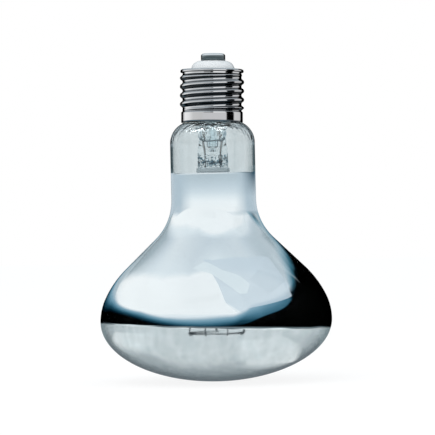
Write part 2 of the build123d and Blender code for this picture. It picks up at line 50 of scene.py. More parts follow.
# Glass bulb, in millimetres, as the source has it
BULB_R = 47.5
EQUATOR = 25.0
LOWER_R = 22.5
LOWER_SWEEP = radians(25.8)
UPPER_R = 41.5
CONE_ANGLE = radians(46.0)
THROAT_R = 22.2
NECK_R = 17.4
SHOULDER_Z = 97.7
SHOULDER_R = 9.1
MOUTH_R = 2.0
SEAL_R = 10.9
SEAL_LENGTH = 3.6
WALL = 0.9
FILM_GAP = 0.02
FILM = 0.15
FILM_TOP = 85.4
FILM_EDGE = 23.4
FILM_TILT = radians(2.2)
FILM_EDGE_R = 0.985 * (BULB_R - WALL)
FILM_EDGE_WAVE = 0.12
FILM_EDGE_RIPPLE = 0.07
FILM_ROWS = 96

# Cap, in millimetres
CREST_R = 13.2
ROOT_R = 12.1
PITCH = 3.629
SHEET = 0.35
RIM_R = 13.0
RIM_CORNER = 0.85

cap_low, cap_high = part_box("cap_shell")
CAP_FOOT = cap_low.z / MM
CAP_TOP = cap_high.z / MM
CAP_LEAN = radians(1.24)
SKIRT_R = (CREST_R + ROOT_R) / 2
SKIRT_TOP = CAP_FOOT + 4.85
THREAD_CREST_Z = 119.05
THREAD_FOOT = SKIRT_TOP - 0.1
THREAD_END = CAP_TOP - 1.15
THREAD_ROWS = 110
RUN_IN = (THREAD_FOOT, THREAD_FOOT + 1.4)
RUN_OUT = (THREAD_END - 2.4, THREAD_END - 0.6)
FLANGE_R = 8.95
SEGMENTS = 192
CAP_SEGMENTS = 256

# Heights on the glass between which its finish changes, in millimetres
SEAL_RIPPLES = (97.5, 103.0)
STEM_FOOT = (87.2, 87.8)
PRESS_LOW = (87.6, 88.4)
PRESS_HIGH = (92.0, 93.5)
STEM_LENS = (92.5, 95.0)


def arc_points(centre, radius, start, end, count):
    """Points of an arc round centre, from one angle to another."""
    steps = [start + (end - start) * i / count for i in range(count + 1)]
    return [(centre[0] + radius * cos(a), centre[1] + radius * sin(a)) for a in steps]


def bulb_profile(inset, fine=1.0):
    """The bulb's outline moved inwards by inset, as radius and height, from the pole to the seal."""
    def count(steps):
        return max(4, int(steps * fine))

    face = []
    for i in range(count(44) + 1):
        angle = -pi / 2 + (pi / 2) * i / count(44)
        face.append(((BULB_R - inset) * cos(angle), EQUATOR + (EQUATOR - inset) * sin(angle)))
    face[0] = (0.0, inset)
    lower_centre = (BULB_R - LOWER_R, EQUATOR)
    lower = arc_points(lower_centre, LOWER_R - inset, 0, LOWER_SWEEP, count(10))
    upper_centre = (
        lower_centre[0] + (LOWER_R - UPPER_R) * cos(LOWER_SWEEP),
        lower_centre[1] + (LOWER_R - UPPER_R) * sin(LOWER_SWEEP),
    )
    upper = arc_points(upper_centre, UPPER_R - inset, LOWER_SWEEP, CONE_ANGLE, count(12))
    cone_foot = (
        upper_centre[0] + UPPER_R * cos(CONE_ANGLE),
        upper_centre[1] + UPPER_R * sin(CONE_ANGLE),
    )
    throat_x = NECK_R + THROAT_R
    run = (cone_foot[0] - (throat_x - THROAT_R * cos(CONE_ANGLE))) / sin(CONE_ANGLE)
    throat_centre = (
        throat_x,
        cone_foot[1] + run * cos(CONE_ANGLE) + THROAT_R * sin(CONE_ANGLE),
    )
    throat = [
        (2 * throat_centre[0] - x, 2 * throat_centre[1] - z)
        for x, z in arc_points(throat_centre, THROAT_R + inset, CONE_ANGLE, 0, count(16))
    ]
    shoulder_centre = (NECK_R - SHOULDER_R, SHOULDER_Z)
    sweep = acos(1 - (NECK_R - SEAL_R) / (SHOULDER_R + MOUTH_R))
    shoulder = arc_points(shoulder_centre, SHOULDER_R - inset, 0, sweep, count(14))
    mouth_centre = (
        shoulder_centre[0] + (SHOULDER_R + MOUTH_R) * cos(sweep),
        shoulder_centre[1] + (SHOULDER_R + MOUTH_R) * sin(sweep),
    )
    mouth = [
        (2 * mouth_centre[0] - x, 2 * mouth_centre[1] - z)
        for x, z in arc_points(mouth_centre, MOUTH_R + inset, sweep, 0, count(7))
    ]
    top = mouth_centre[1] + SEAL_LENGTH
    return face + lower[1:] + upper[1:] + throat + shoulder + mouth[1:] + [(mouth[-1][0], top)]


def make_mesh(name, verts, faces):
    """A smooth-shaded object from points in millimetres."""
    mesh = bpy.data.meshes.new(name)
    mesh.from_pydata([(x * MM, y * MM, z * MM) for x, y, z in verts], [], faces)
    mesh.update()
    mesh.polygons.foreach_set("use_smooth", [True] * len(mesh.polygons))
    piece = bpy.data.objects.new(name, mesh)
    bpy.context.collection.objects.link(piece)
    return piece


def lathe(name, loop, segments=SEGMENTS, closed=True):
    """Turn a loop of radius and height points, with the glass or metal on the loop's left."""
    verts, rings = [], []
    for radius, z in loop:
        if radius < 1e-6:
            rings.append([len(verts)] * segments)
            verts.append((0.0, 0.0, z))
        else:
            rings.append([len(verts) + i for i in range(segments)])
            for i in range(segments):
                angle = 2 * pi * i / segments
                verts.append((radius * cos(angle), radius * sin(angle), z))
    faces = []
    pairs = list(zip(rings, rings[1:])) + ([(rings[-1], rings[0])] if closed else [])
    for low, high in pairs:
        for i in range(segments):
            j = (i + 1) % segments
            corners = [low[i], low[j], high[j], high[i]]
            face = [c for k, c in enumerate(corners) if c not in corners[:k]]
            if len(face) > 2:
                faces.append(face)
    return make_mesh(name, verts, faces)


def film_mesh(name):
    """The mirror film: two skins that run from the window's uneven edge up to the neck."""
    rows, columns = FILM_ROWS, SEGMENTS
    verts, faces = [], []
    insets = (WALL + FILM_GAP, WALL + FILM_GAP + FILM)
    skins = [[p for p in bulb_profile(inset, 3.0) if 15.0 < p[1] < 97.0] for inset in insets]

    def radius_at(outline, z):
        for (r0, z0), (r1, z1) in zip(outline, outline[1:]):
            if z0 <= z <= z1:
                return r0 + (r1 - r0) * (z - z0) / max(z1 - z0, 1e-9)
        return outline[-1][0]

    for skin in skins:
        for row in range(rows + 1):
            share = row / rows
            for column in range(columns):
                angle = 2 * pi * column / columns
                edge = FILM_EDGE - FILM_EDGE_R * cos(angle) * tan(FILM_TILT)
                edge += FILM_EDGE_WAVE * sin(7 * angle + 1.3) * sin(3 * angle)
                edge += FILM_EDGE_RIPPLE * sin(23 * angle)
                z = edge + (FILM_TOP - edge) * share
                r = radius_at(skin, z)
                verts.append((r * cos(angle), r * sin(angle), z))
    inner = (rows + 1) * columns
    for row in range(rows):
        for i in range(columns):
            j = (i + 1) % columns
            a, b = row * columns + i, row * columns + j
            faces.append([a, b, b + columns, a + columns])
            faces.append([inner + b, inner + a, inner + a + columns, inner + b + columns])
    for i in range(columns):
        j = (i + 1) % columns
        faces.append([j, i, inner + i, inner + j])
        top = rows * columns
        faces.append([top + i, top + j, inner + top + j, inner + top + i])
    return make_mesh(name, verts, faces)


class Graph:
    """The nodes of one material, or of the world, with short forms for those in use here."""

    def __init__(self, tree):
        self.nodes, self.links = tree.nodes, tree.links
        self.nodes.clear()

    def feed(self, socket, value):
        """Link an output to a socket, or set the socket to a number, a vector or a colour."""
        if isinstance(value, bpy.types.NodeSocket):
            self.links.new(value, socket)
        elif socket.type == "RGBA" and len(value) == 3:
            socket.default_value = (*value, 1.0)
        else:
            socket.default_value = value

    def add(self, kind, **inputs):
        made = self.nodes.new("ShaderNode" + kind)
        for name, value in inputs.items():
            self.feed(made.inputs[name.replace("_", " ")], value)
        return made

    def fill(self, made, *values):
        for socket, value in zip(made.inputs, values):
            self.feed(socket, value)
        return made.outputs[0]

    def maths(self, operation, *values, clamp=False):
        made = self.add("Math")
        made.operation = operation
        made.use_clamp = clamp
        return self.fill(made, *values)

    def times(self, product, *others):
        for other in others:
            product = self.maths("MULTIPLY", product, other)
        return product

    def rest_of(self, share):
        return self.maths("SUBTRACT", 1.0, share)

    def remap(self, value, low, high, to_low, to_high):
        """Carry low to to_low and high to to_high, held level outside them."""
        return self.fill(self.add("MapRange"), value, low, high, to_low, to_high)

    def rise(self, value, low, high):
        return self.remap(value, low, high, 0.0, 1.0)

    def drop(self, value, low, high):
        return self.remap(value, low, high, 1.0, 0.0)

    def ramp(self, value, stops):
        made = self.add("ValToRGB")
        elements = made.color_ramp.elements
        while len(elements) < len(stops):
            elements.new(0.5)
        for element, (place, colour) in zip(elements, stops):
            element.position = place
            element.color = (*colour, 1.0) if len(colour) == 3 else colour
        return self.fill(made, value)

    def curve(self, value, points):
        """A smooth curve through points, with both axes from 0 to 1."""
        made = self.add("FloatCurve", Value=value)
        line = made.mapping.curves[0]
        while len(line.points) < len(points):
            line.points.new(0.5, 0.5)
        for point, place in zip(line.points, points):
            point.location = place
        made.mapping.update()
        return made.outputs[0]

    def split(self, vector):
        """The X, Y and Z of a vector."""
        made = self.add("SeparateXYZ")
        self.feed(made.inputs[0], vector)
        return tuple(made.outputs)

    def noise(self, scale, detail, stretch=None):
        """Noise in the object's own space, with scale in cycles per metre."""
        place = self.add("TexCoord").outputs["Object"]
        if stretch:
            place = self.add("Mapping", Vector=place, Scale=stretch).outputs[0]
        texture = self.add("TexNoise", Vector=place, Scale=scale, Detail=detail, Roughness=0.5)
        return texture.outputs["Fac"]

    def bump(self, shader, height, strength, distance):
        made = self.add("Bump", Height=height, Strength=strength, Distance=distance)
        self.feed(shader.inputs["Normal"], made.outputs[0])

    def tint(self, share, first, second):
        """One colour turned into another by share."""
        made = self.add("Mix")
        made.data_type = "RGBA"
        for index, value in ((0, share), (6, first), (7, second)):
            self.feed(made.inputs[index], value)
        return made.outputs[2]

    def mix(self, share, first, second):
        """One shader turned into another by share."""
        return self.fill(self.add("MixShader"), share, first, second)

    def glow(self, colour, strength=1.0):
        return self.add("Emission", Color=colour, Strength=strength).outputs[0]

    def clear(self, colour=(1.0, 1.0, 1.0)):
        return self.add("BsdfTransparent", Color=colour).outputs[0]

    def show(self, surface):
        self.feed(self.add("OutputMaterial").inputs[0], surface)

    def show_glass(self, shader):
        """Glass that lets shadow rays pass, so that what it holds is lit."""
        shadow = self.add("LightPath").outputs["Is Shadow Ray"]
        self.show(self.mix(shadow, shader.outputs[0], self.clear(GLASS_SHADE)))


def new_material(name):
    material = bpy.data.materials.new(name)
    material.use_nodes = True
    return material, Graph(material.node_tree)


# Finishes. Noise scales are in cycles per metre and bump depths in metres.
GLASS_SHADE = (0.93, 0.96, 0.97)
GLASS_IOR = 1.49
STEM_IOR = 1.53
TUBE_IOR = 1.2
WAVE_SCALE = 55.0
WAVE_STRETCH = (1, 1, 0.35)
WAVE_DEPTH = 0.0004
WAVE_STRENGTH = 0.12
STREAK_SCALE = 260.0
STREAK_STRETCH = (1, 1, 0.03)
RIPPLE_SCALE = 330.0
RIPPLE_HEIGHT = 22.0
CREASE_SCALE = 800.0
CREASE_HEIGHT = 9.0
CREASE_STRENGTH = 0.5
WORKED_STRETCH = (1, 1, 0.8)
WINDOW_FROST = 0.07
FOOT_FROST = 0.5
CLEAR_TINT = (0.96, 0.985, 0.99)
HAZE_TINT = (0.73, 0.785, 0.8)
STEM_TINT = (0.94, 0.975, 0.985)
# Near-black glass tint painted into the stem's creases as shade
CREASE_PAINTED_SHADE = (0.01, 0.05, 0.08)
# Painted light and shade on the cap's thread, by the way each face turns: black facing down, bright facing
# out and facing steeply up, grey between
THREAD_PAINTED_LIGHT_TONES = [
    (0.0, (0.02, 0.022, 0.025)), (0.22, (0.03, 0.035, 0.04)), (0.36, (0.25, 0.26, 0.27)),
    (0.45, (0.86, 0.865, 0.87)), (0.58, (0.86, 0.865, 0.87)), (0.68, (0.36, 0.38, 0.4)),
    (0.84, (0.4, 0.42, 0.44)), (0.92, (0.9, 0.9, 0.9)), (1.0, (0.9, 0.9, 0.9)),
]
# Painted light and shade on the end contact: dark facing sideways and down, light facing up
CONTACT_PAINTED_LIGHT_TONES = [
    (0.0, (0.1, 0.12, 0.13)), (0.47, (0.15, 0.19, 0.2)), (0.56, (0.3, 0.35, 0.37)),
    (0.68, (0.8, 0.83, 0.85)), (1.0, (0.8, 0.83, 0.85)),
]


def in_metres(heights):
    return [height * MM for height in heights]


def glass_material(name, colour, roughness):
    """Clear glass with the slow waves of drawn tube."""
    material, graph = new_material(name)
    shader = graph.add(
        "BsdfPrincipled", Base_Color=colour, Roughness=roughness, IOR=GLASS_IOR, Transmission_Weight=1.0
    )
    graph.bump(shader, graph.noise(WAVE_SCALE, 2.0, WAVE_STRETCH), WAVE_STRENGTH, WAVE_DEPTH)
    graph.show_glass(shader)
    return material


def bulb_material():
    """Blown glass: clear over the mirror, hazy at the window and the neck, rippled at the seal."""
    material, graph = new_material("envelope_glass")
    shader = graph.add("BsdfPrincipled", IOR=GLASS_IOR, Transmission_Weight=1.0)
    x, _, z = graph.split(graph.add("TexCoord").outputs["Object"])
    over_edge = graph.maths("MULTIPLY_ADD", x, tan(FILM_TILT), z)
    window = graph.drop(over_edge, (FILM_EDGE - 0.3) * MM, FILM_EDGE * MM)
    neck = graph.rise(z, FILM_TOP * MM, (FILM_TOP + 0.2) * MM)
    streaks = graph.remap(graph.noise(STREAK_SCALE, 2.0, STREAK_STRETCH), 0.35, 0.65, 0.0, 0.4)
    hazy = graph.times(graph.maths("MAXIMUM", window, neck), graph.rest_of(streaks))
    graph.feed(shader.inputs["Base Color"], graph.ramp(hazy, [(0.0, CLEAR_TINT), (1.0, HAZE_TINT)]))
    graph.feed(shader.inputs["Roughness"], graph.remap(window, 0.0, 1.0, 0.0, WINDOW_FROST))
    waves = graph.noise(WAVE_SCALE, 2.0, WAVE_STRETCH)
    worked = graph.noise(RIPPLE_SCALE, 2.5, WORKED_STRETCH)
    ripples = graph.times(worked, graph.rise(z, *in_metres(SEAL_RIPPLES)))
    relief = graph.maths("MULTIPLY_ADD", ripples, RIPPLE_HEIGHT, waves)
    graph.bump(shader, relief, WAVE_STRENGTH, WAVE_DEPTH)
    graph.show_glass(shader)
    return material


def stem_material():
    """Stem glass: smooth tube, creased where it was pressed round the wires, with painted dark shade in the
    creases, milky at its foot.
    """
    material, graph = new_material("stem_glass")
    shader = graph.add("BsdfPrincipled", IOR=STEM_IOR, Transmission_Weight=1.0)
    z = graph.split(graph.add("TexCoord").outputs["Object"])[2]
    foot = graph.drop(z, *in_metres(STEM_FOOT))
    graph.feed(shader.inputs["Roughness"], graph.remap(foot, 0.0, 1.0, 0.0, FOOT_FROST))
    graph.feed(shader.inputs["Transmission Weight"], graph.rest_of(foot))
    graph.feed(shader.inputs["IOR"], graph.remap(z, *in_metres(STEM_LENS), STEM_IOR, TUBE_IOR))
    pressed = graph.times(graph.rise(z, *in_metres(PRESS_LOW)), graph.drop(z, *in_metres(PRESS_HIGH)))
    creases = graph.times(graph.noise(CREASE_SCALE, 1.0, WORKED_STRETCH), pressed)
    # Painted shade: noise spots in the pressed band turn the glass near black
    painted_dark_facets = graph.rise(creases, 0.51, 0.56)
    graph.feed(shader.inputs["Base Color"], graph.ramp(painted_dark_facets, [(0.0, STEM_TINT), (1.0, CREASE_PAINTED_SHADE)]))
    waves = graph.noise(WAVE_SCALE, 2.0, WAVE_STRETCH)
    relief = graph.maths("MULTIPLY_ADD", creases, CREASE_HEIGHT, waves)
    graph.bump(shader, relief, CREASE_STRENGTH, WAVE_DEPTH)
    graph.show_glass(shader)
    return material


def metal_material(name, colour, roughness, spread=0.05, scale=900.0, depth=0.00002, shade=0.14):
    """Drawn or cast metal, with a fine grain in its colour, gloss and relief."""
    material, graph = new_material(name)
    grain = graph.noise(scale, 4.0)
    dark = tuple(c * (1 - shade) for c in colour)
    tone = graph.ramp(grain, [(0.3, dark), (0.7, colour)])
    rough = graph.remap(grain, 0.3, 0.7, max(roughness - spread, 0.02), roughness + spread)
    shader = graph.add("BsdfPrincipled", Metallic=1.0, Base_Color=tone, Roughness=rough)
    graph.bump(shader, grain, 0.25, depth)
    graph.show(shader.outputs[0])
    return material


def plate_material(name, tones, smoothest, roughest):
    """Plated sheet with painted light and shade: its tone is set by the way each face turns."""
    material, graph = new_material(name)
    normal_z = graph.split(graph.add("NewGeometry").outputs["Normal"])[2]
    # Painted light and shade: tone taken from the height of the surface normal
    tone = graph.ramp(graph.rise(normal_z, -0.9, 0.9), tones)
    grain = graph.noise(900.0, 4.0, (1, 1, 3))
    rough = graph.remap(grain, 0.3, 0.7, smoothest, roughest)
    shader = graph.add("BsdfPrincipled", Metallic=1.0, Base_Color=tone, Roughness=rough)
    graph.bump(shader, grain, 0.2, 0.000002)
    graph.show(shader.outputs[0])
    return material


def matt_material(name, colour, roughness, scale=700.0, shade=0.9, depth=0.00004, sheen=0.5):
    """Fired ceramic or cement, a little mottled."""
    material, graph = new_material(name)
    grain = graph.noise(scale, 5.0)
    tone = graph.ramp(grain, [(0.35, tuple(c * shade for c in colour)), (0.65, colour)])
    shader = graph.add("BsdfPrincipled", Base_Color=tone, Roughness=roughness, Specular_IOR_Level=sheen)
    graph.bump(shader, grain, 0.3, depth)
    graph.show(shader.outputs[0])
    return material


envelope_glass = bulb_material()
stem_glass = stem_material()
quartz = glass_material("quartz", (0.97, 0.98, 0.99), 0.02)
mirror_film = metal_material("mirror_film", (0.93, 0.955, 0.97), 0.04, 0.015, 60.0, 0.000001, 0.03)
nickel_plate = plate_material("nickel_plate", THREAD_PAINTED_LIGHT_TONES, 0.04, 0.09)
tinned_brass = plate_material("tinned_brass", CONTACT_PAINTED_LIGHT_TONES, 0.16, 0.26)
solder = metal_material("solder", (0.6, 0.61, 0.62), 0.3, 0.1, 900.0, 0.00005)
copper_wire = metal_material("copper_wire", (0.5, 0.45, 0.42), 0.3)
nickel_wire = metal_material("nickel_wire", (0.62, 0.62, 0.6), 0.28)
tungsten = metal_material("tungsten", (0.3, 0.3, 0.32), 0.35)
molybdenum = metal_material("molybdenum", (0.45, 0.45, 0.47), 0.35)
white_ceramic = matt_material("white_ceramic", (0.8, 0.815, 0.82), 0.3, 120.0, 0.985, 0.000001)
steatite = matt_material("steatite", (0.86, 0.84, 0.78), 0.6)
cement = matt_material("cement", (0.7, 0.66, 0.58), 0.9, 400.0, 0.8, 0.0002, 0.2)

NODE_MATERIALS = {
    "stem": stem_glass, "exhaust_tube": stem_glass, "arc_tube": quartz,
    "side_solder": solder,
    "shell_cement": cement,
    "contact_lead": copper_wire, "shell_lead": copper_wire, "press_seals": copper_wire,
    "frame_rod": nickel_wire, "feed_rod": nickel_wire, "return_rod": nickel_wire,
    "upper_electrode": tungsten, "lower_electrode": tungsten, "starting_electrode": tungsten,
    "sealing_foils": molybdenum, "arc_tube_leads": molybdenum,
    "upper_strap": nickel_wire, "lower_strap": nickel_wire, "resistor_leads": nickel_wire,
    "starting_resistor": steatite, "filament_carrier": steatite, "filament_hooks": molybdenum,
}
for name, material in NODE_MATERIALS.items():
    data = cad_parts[name].data
    data.materials.clear()
    data.materials.append(material)


def lean(piece, shift=0.0):
    """Turn a piece of the cap to its slight lean on the neck, as in the photograph."""
    to_pivot = Matrix.Translation((shift * MM, 0, CAP_FOOT * MM))
    from_pivot = Matrix.Translation((0, 0, -CAP_FOOT * MM))
    piece.data.transform(to_pivot @ Matrix.Rotation(CAP_LEAN, 4, "Y") @ from_pivot)
    return piece


def dress(piece, material, replaced):
    """Give a new piece its finish and its body, and hide the node that it stands for."""
    piece.data.materials.append(material)
    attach(piece, "root")
    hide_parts(replaced)


# Bulb and mirror
bulb = lathe("bulb_glass", bulb_profile(0.0) + bulb_profile(WALL)[::-1])
dress(bulb, envelope_glass, "envelope")
film = film_mesh("mirror_film")
dress(film, mirror_film, "reflector_coating")


# Cap shell with its helical thread
def thread_wave(phase):
    """Radius of the round thread at a distance from its crest, in millimetres."""
    depth = CREST_R - ROOT_R
    arc = ((PITCH / 2) ** 2 + depth**2) / (4 * depth)
    u = abs((phase + PITCH / 2) % PITCH - PITCH / 2)
    if u <= PITCH / 4:
        return CREST_R - arc + sqrt(arc**2 - u**2)
    return ROOT_R + arc - sqrt(arc**2 - (PITCH / 2 - u) ** 2)


def smooth(value, low, high):
    share = min(max((value - low) / (high - low), 0.0), 1.0)
    return share * share * (3 - 2 * share)


def thread_radius(angle, z):
    """Radius of the helical thread, which fades out towards the skirt and the rim."""
    swell = thread_wave(z - THREAD_CREST_Z - PITCH * angle / (2 * pi)) - ROOT_R
    return ROOT_R + swell * min(smooth(z, *RUN_IN), 1 - smooth(z, *RUN_OUT))


def cap_mesh(name):
    """The shell as one sheet: skirt, helical thread, rim and flange, with its inner side."""
    columns = CAP_SEGMENTS
    skirt = [(SKIRT_R - 0.1, CAP_FOOT)]
    skirt += [(SKIRT_R, z) for z in (CAP_FOOT + 0.12, CAP_FOOT + 1.2, SKIRT_TOP - 1.2, SKIRT_TOP - 0.72)]
    skirt += [(SKIRT_R - 0.12, SKIRT_TOP - 0.5), (SKIRT_R - 0.42, SKIRT_TOP - 0.2)]
    run = THREAD_END - THREAD_FOOT
    thread = [(None, THREAD_FOOT + run * i / THREAD_ROWS) for i in range(THREAD_ROWS + 1)]
    rim_centre = (RIM_R - RIM_CORNER, CAP_TOP - RIM_CORNER)
    rim = arc_points(rim_centre, RIM_CORNER, radians(-35), radians(90), 8)
    flange = [(11.0, CAP_TOP), (9.1, CAP_TOP), (FLANGE_R, CAP_TOP - 0.1), (FLANGE_R, CAP_TOP - SHEET)]
    inside = [
        (ROOT_R - SHEET, CAP_TOP - SHEET),
        (ROOT_R - SHEET, SKIRT_TOP - 0.1),
        (SKIRT_R - SHEET, SKIRT_TOP - 0.8),
        (SKIRT_R - SHEET, CAP_FOOT),
    ]
    rows = skirt + thread + rim + flange + inside
    verts, faces = [], []
    for radius, z in rows:
        for column in range(columns):
            angle = 2 * pi * column / columns
            r = thread_radius(angle, z) if radius is None else radius
            verts.append((r * cos(angle), r * sin(angle), z))
    for row in range(len(rows)):
        low = row * columns
        high = ((row + 1) % len(rows)) * columns
        for i in range(columns):
            j = (i + 1) % columns
            faces.append([low + i, low + j, high + j, high + i])
    return make_mesh(name, verts, faces)


shell = lean(cap_mesh("threaded_shell"))
dress(shell, nickel_plate, "cap_shell")

# Insulator dome
insulator_low, insulator_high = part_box("cap_insulator")
DOME_FOOT = insulator_low.z / MM
DOME_TOP = insulator_high.z / MM
CONTACT_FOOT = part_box("end_contact")[0].z / MM
LAMP_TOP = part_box("end_contact")[1].z / MM
BOSS_R = 4.45
BOSS_EDGE = BOSS_R + 0.55
DOME_R = 8.9
BASE_R = 11.7
BORE_R = 1.3
RECESS_R = 6.5
RECESS_DEPTH = 2.8
DOME_STEPS = 12
DOME_SHIFT = 0.35
CONTACT_SHIFT = 0.45


def dome_loop():
    """Outline of the insulator: bore, recess, base, the dome's quarter curve and the boss."""
    ledge = CAP_TOP - SHEET - 0.06
    crown = CONTACT_FOOT - 0.05
    recess = DOME_FOOT + RECESS_DEPTH
    loop = [(BORE_R, DOME_TOP), (BORE_R, recess), (RECESS_R, recess), (RECESS_R, DOME_FOOT)]
    loop += [(BASE_R, DOME_FOOT), (BASE_R, ledge), (DOME_R, ledge)]
    for i in range(DOME_STEPS + 1):
        angle = (pi / 2) * i / DOME_STEPS
        r = BOSS_EDGE + (DOME_R - BOSS_EDGE) * cos(angle)
        loop.append((r, CAP_TOP + (crown - CAP_TOP) * sin(angle)))
    return loop + [(BOSS_R, crown), (BOSS_R, DOME_TOP)]


insulator = lean(lathe("insulator_dome", dome_loop(), 128), DOME_SHIFT)
dress(insulator, white_ceramic, "cap_insulator")

# End contact, a pressed cup with a rounded edge, and the solder in its hole
CONTACT_R = 5.0
CONTACT_EDGE = 1.0
CONTACT_INNER_R = 4.4
HOLE_R = 0.9
cup = [(HOLE_R, LAMP_TOP), (HOLE_R, LAMP_TOP - 0.5), (CONTACT_INNER_R, LAMP_TOP - 0.5)]
cup += [(CONTACT_INNER_R, CONTACT_FOOT), (CONTACT_R, CONTACT_FOOT)]
cup += arc_points((CONTACT_R - CONTACT_EDGE, LAMP_TOP - CONTACT_EDGE), CONTACT_EDGE, 0, pi / 2, 10)
contact = lean(lathe("contact_cup", cup, 96), CONTACT_SHIFT)
dress(contact, tinned_brass, "end_contact")

BEAD_R = 0.88
BEAD_RISE = 0.2
BEAD_EDGE = LAMP_TOP - 0.25
bead = [(0.0, LAMP_TOP - 1.6), (0.85, LAMP_TOP - 1.6), (BEAD_R, BEAD_EDGE)]
for k in range(1, 6):
    bead.append((BEAD_R * cos(radians(15 * k)), BEAD_EDGE + BEAD_RISE * sin(radians(15 * k))))
bead.append((0.0, BEAD_EDGE + BEAD_RISE))
drop = lean(lathe("contact_bead", bead, 32, closed=False), CONTACT_SHIFT)
dress(drop, solder, "contact_solder")

# Ballast filament as a real coil
RING_R = 11.3
COIL_R = 0.32
WIRE_R = 0.075
FILAMENT_Z = 19.7
FILAMENT_START = radians(85)
FILAMENT_SWEEP = radians(280)
COIL_TURNS = 150
POINTS_PER_TURN = 10


def coil_curve(name):
    """The filament's wire, wound round the ring's own line, resting in the hooks."""
    curve = bpy.data.curves.new(name, "CURVE")
    curve.dimensions = "3D"
    curve.bevel_depth = WIRE_R * MM
    curve.bevel_resolution = 1
    count = COIL_TURNS * POINTS_PER_TURN + 1
    line = curve.splines.new("POLY")
    line.points.add(count - 1)
    for i in range(count):
        share = i / (count - 1)
        angle = FILAMENT_START + FILAMENT_SWEEP * share
        twist = 2 * pi * COIL_TURNS * share
        radius = RING_R + COIL_R * cos(twist)
        z = FILAMENT_Z + COIL_R * sin(twist)
        line.points[i].co = (radius * cos(angle) * MM, radius * sin(angle) * MM, z * MM, 1)
    piece = bpy.data.objects.new(name, curve)
    bpy.context.collection.objects.link(piece)
    return piece


filament = coil_curve("coiled_filament")
dress(filament, tungsten, "ballast_filament")


# Studio: what the mirror and the chrome show. Straight through the glass it all is white.
def read_ray(graph):
    """What a stage material knows of the ray that meets it: its kind, way and place of departure."""
    path = graph.add("LightPath").outputs
    geometry = graph.add("NewGeometry").outputs
    back = graph.split(geometry["Incoming"])
    height = graph.split(geometry["Position"])[2]
    return SimpleNamespace(
        path=path,
        back=back,
        ahead=graph.times(back[1], -1.0),
        height=height,
        origin=graph.maths("ADD", height, graph.times(back[2], path["Ray Length"])),
        reflected=graph.maths("GREATER_THAN", path["Glossy Depth"], 0.5),
    )


def white_mask(graph, path, forward):
    """1 for camera rays and for rays that went straight on through glass, else 0."""
    unreflected = graph.maths("LESS_THAN", path["Glossy Depth"], 0.5)
    straight = graph.rise(forward, 0.55, 0.85)
    through = graph.times(path["Is Transmission Ray"], unreflected, straight)
    return graph.maths("MAXIMUM", path["Is Camera Ray"], through)


WORLD_LEVELS = [
    (0.0, 0.56), (0.07, 0.62), (0.17, 0.73), (0.34, 0.79), (0.55, 0.79), (0.75, 0.77), (0.87, 0.72),
    (0.94, 0.68), (0.985, 0.645), (1.0, 0.63),
]
WORLD_TONES = [
    (0.0, (0.0, 0.02, 0.03)), (0.34, (0.21, 0.34, 0.41)), (0.47, (0.39, 0.47, 0.51)),
    (0.61, (0.55, 0.61, 0.66)), (0.8, (0.79, 0.82, 0.84)), (0.93, (0.93, 0.94, 0.945)),
    (1.0, (1.0, 1.0, 1.0)),
]
WORLD_STRENGTH = 1.08
BACK_LEFT = (-0.27, 0.92, 0.3)
BACK_RIGHT = (0.44, 0.72, 0.52)


def make_world():
    """A pale dome, greyer near the floor and in two soft patches behind the lamp."""
    world = bpy.data.worlds.new("studio")
    bpy.context.scene.world = world
    world.use_nodes = True
    graph = Graph(world.node_tree)
    heading = graph.add("TexCoord").outputs["Generated"]
    _, forward, upward = graph.split(heading)

    def lobe(direction, low, high):
        """Share from 0 to 1 that grows towards one direction of the studio."""
        dot = graph.add("VectorMath")
        dot.operation = "DOT_PRODUCT"
        graph.fill(dot, heading, Vector(direction).normalized())
        made = graph.add("MapRange")
        made.interpolation_type = "SMOOTHSTEP"
        return graph.fill(made, dot.outputs["Value"], low, high)

    level = graph.curve(upward, WORLD_LEVELS)
    left = graph.times(lobe(BACK_LEFT, 0.65, 0.99), -0.28, graph.rise(upward, 0.05, 0.15))
    right = graph.times(lobe(BACK_RIGHT, 0.7, 0.97), -0.24)
    total = graph.maths("ADD", level, graph.maths("ADD", left, right))
    soft = graph.add("Background", Color=graph.ramp(total, WORLD_TONES), Strength=WORLD_STRENGTH)
    plain = graph.add("Background", Color=(1.0, 1.0, 1.0))
    seen = white_mask(graph, graph.add("LightPath").outputs, forward)
    graph.feed(graph.add("OutputWorld").inputs[0], graph.mix(seen, soft.outputs[0], plain.outputs[0]))


make_world()


def area_light(name, place, target, width, height, power, colour):
    light = bpy.data.lights.new(name, "AREA")
    light.shape = "RECTANGLE"
    light.size, light.size_y = width, height
    light.energy = power
    light.color = colour
    lamp = bpy.data.objects.new(name, light)
    bpy.context.collection.objects.link(lamp)
    lamp.location = place
    lamp.rotation_euler = (Vector(target) - Vector(place)).to_track_quat("-Z", "Y").to_euler()
    lamp.visible_camera = False
    lamp.visible_glossy = False
    lamp.visible_transmission = False


KEY_PLACE = (-0.2, -0.5, 0.7)
LAMP_CENTRE = (0, 0, 0.06)
KEY_TINT = (1.0, 0.985, 0.97)
area_light("key", KEY_PLACE, LAMP_CENTRE, 0.6, 0.5, 2.0, KEY_TINT)


def stage_only(piece):
    """Keep a sheet of the studio out of the camera's view and of the lighting."""
    piece.visible_camera = False
    piece.visible_diffuse = False
    piece.visible_shadow = False


# Ring of dark wall, nearer on the right, that fades out upwards
SURROUND_R = 118.0
SURROUND_CENTRE = (-42.0, -20.0)
RING_LOW = -30.0
RING_HIGH = 170.0
RING_SPAN = RING_HIGH - RING_LOW
# Turns in degrees from the front, each with the height where the fade starts, in millimetres
EDGE_HEIGHTS = [
    (-180, 48), (-165, 33), (-150, 37), (-135, 45), (-105, 48), (-90, 45), (-75, 38), (-60, 29),
    (-45, 20), (-30, 10), (-15, 1), (0, -5), (15, -5), (30, 4), (45, 20), (60, 38), (75, 48), (90, 65),
    (105, 74), (120, 74), (135, 64), (150, 55), (180, 50),
]
